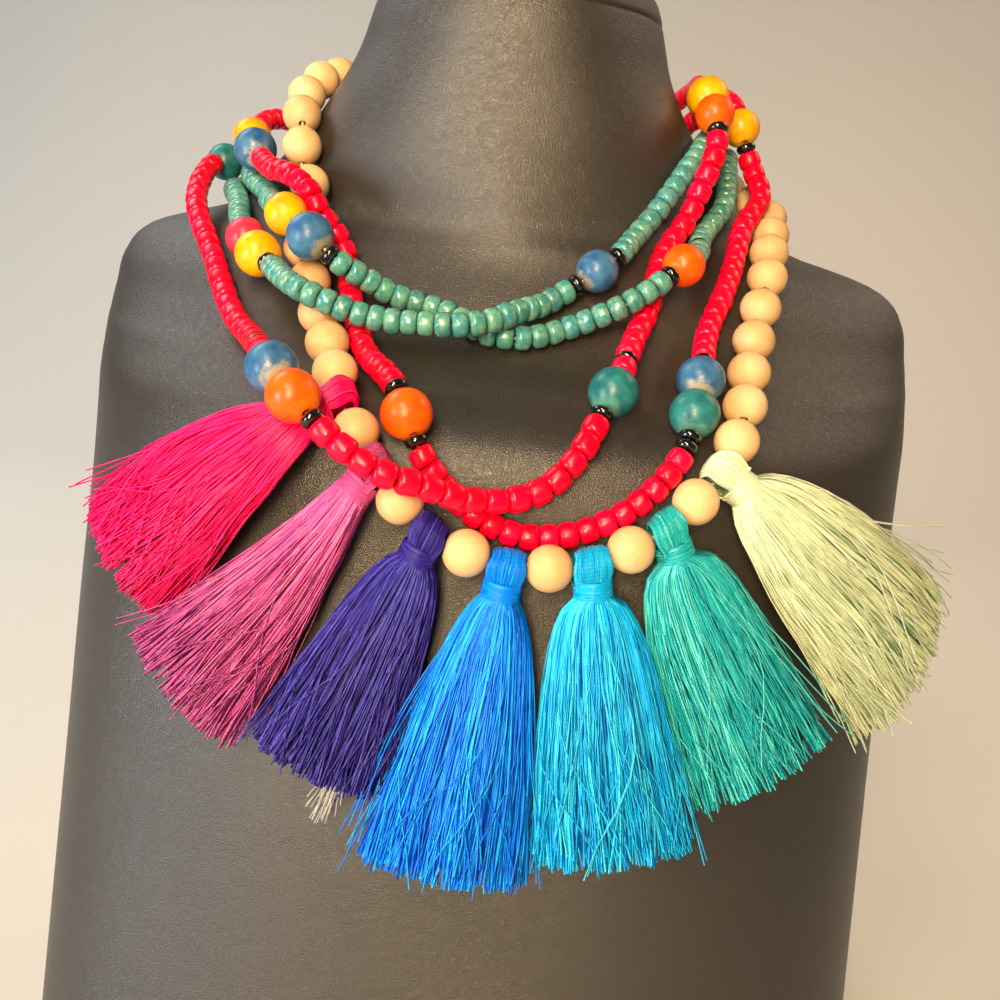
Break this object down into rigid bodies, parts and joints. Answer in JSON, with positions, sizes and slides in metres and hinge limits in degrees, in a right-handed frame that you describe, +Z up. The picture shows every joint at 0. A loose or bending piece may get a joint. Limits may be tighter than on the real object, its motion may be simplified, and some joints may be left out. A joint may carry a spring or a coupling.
{
  "type": "tassel necklace on a neck bust",
  "caption": "Many-stranded necklace of wood, red and turquoise beads with thread tassels, worn by a leatherette-covered neck bust that stands on its flat base.",
  "frame": {"origin": "centre of the object's outline seen from above, on the plane of the bust's base", "axes": "+Z up, the chest and the tassels face -Y, +X to the right in the picture"},
  "size_m": [0.3266, 0.2535, 0.43],
  "materials": {
    "leatherette": "pebbled satin leatherette",
    "clasp_metal": "satin plate",
    "natural_wood": "satin lacquered pale wood",
    "cream_thread": "twisted thread",
    "red_pony": "glossy, slightly translucent",
    "red_thread": "twisted thread",
    "turquoise_pony": "pearly, mottled",
    "black_gloss": "high gloss",
    "painted_teal": "satin painted wood",
    "painted_blue": "satin painted wood, worn",
    "painted_orange": "satin painted wood",
    "painted_yellow": "satin painted wood",
    "painted_pink": "satin painted wood",
    "thread_pink": "silky twisted thread",
    "thread_mauve": "silky twisted thread",
    "thread_navy": "silky twisted thread",
    "thread_azure": "silky twisted thread",
    "thread_blue": "silky twisted thread",
    "thread_teal": "silky twisted thread",
    "thread_mint": "silky twisted thread"
  },
  "bodies": {
    "root": {"neck_bust": "leatherette", "necklace_clasp": "clasp_metal", "wood_bead_string": "natural_wood", "wood_thread": "cream_thread", "red_bead_string_1": "red_pony", "red_thread_1": "red_thread", "red_string_2": "red_pony", "turquoise_string_1": "turquoise_pony", "turquoise_string_2": "turquoise_pony", "black_spacers": "black_gloss", "red_1_teal_bead_left": "painted_teal", "red_1_blue_bead": "painted_blue", "red_1_orange_bead_left": "painted_orange", "red_1_teal_bead_right": "painted_teal", "red_1_orange_bead_right": "painted_orange", "red_1_yellow_bead": "painted_yellow", "red_2_yellow_bead_left": "painted_yellow", "red_2_blue_bead_left": "painted_blue", "red_2_orange_bead": "painted_orange", "red_2_teal_bead": "painted_teal", "red_2_blue_bead_right": "painted_blue", "red_2_yellow_bead_right": "painted_yellow", "turquoise_1_pink_bead": "painted_pink", "turquoise_1_yellow_bead": "painted_yellow", "turquoise_1_blue_bead": "painted_blue", "turquoise_2_yellow_bead": "painted_yellow", "turquoise_2_blue_bead": "painted_blue", "turquoise_2_orange_bead": "painted_orange", "tassel_pink": "thread_pink", "tassel_mauve": "thread_mauve", "tassel_navy": "thread_navy", "tassel_azure": "thread_azure", "tassel_blue": "thread_blue", "tassel_teal": "thread_teal", "tassel_mint": "thread_mint"}
  },
  "joints": []
}
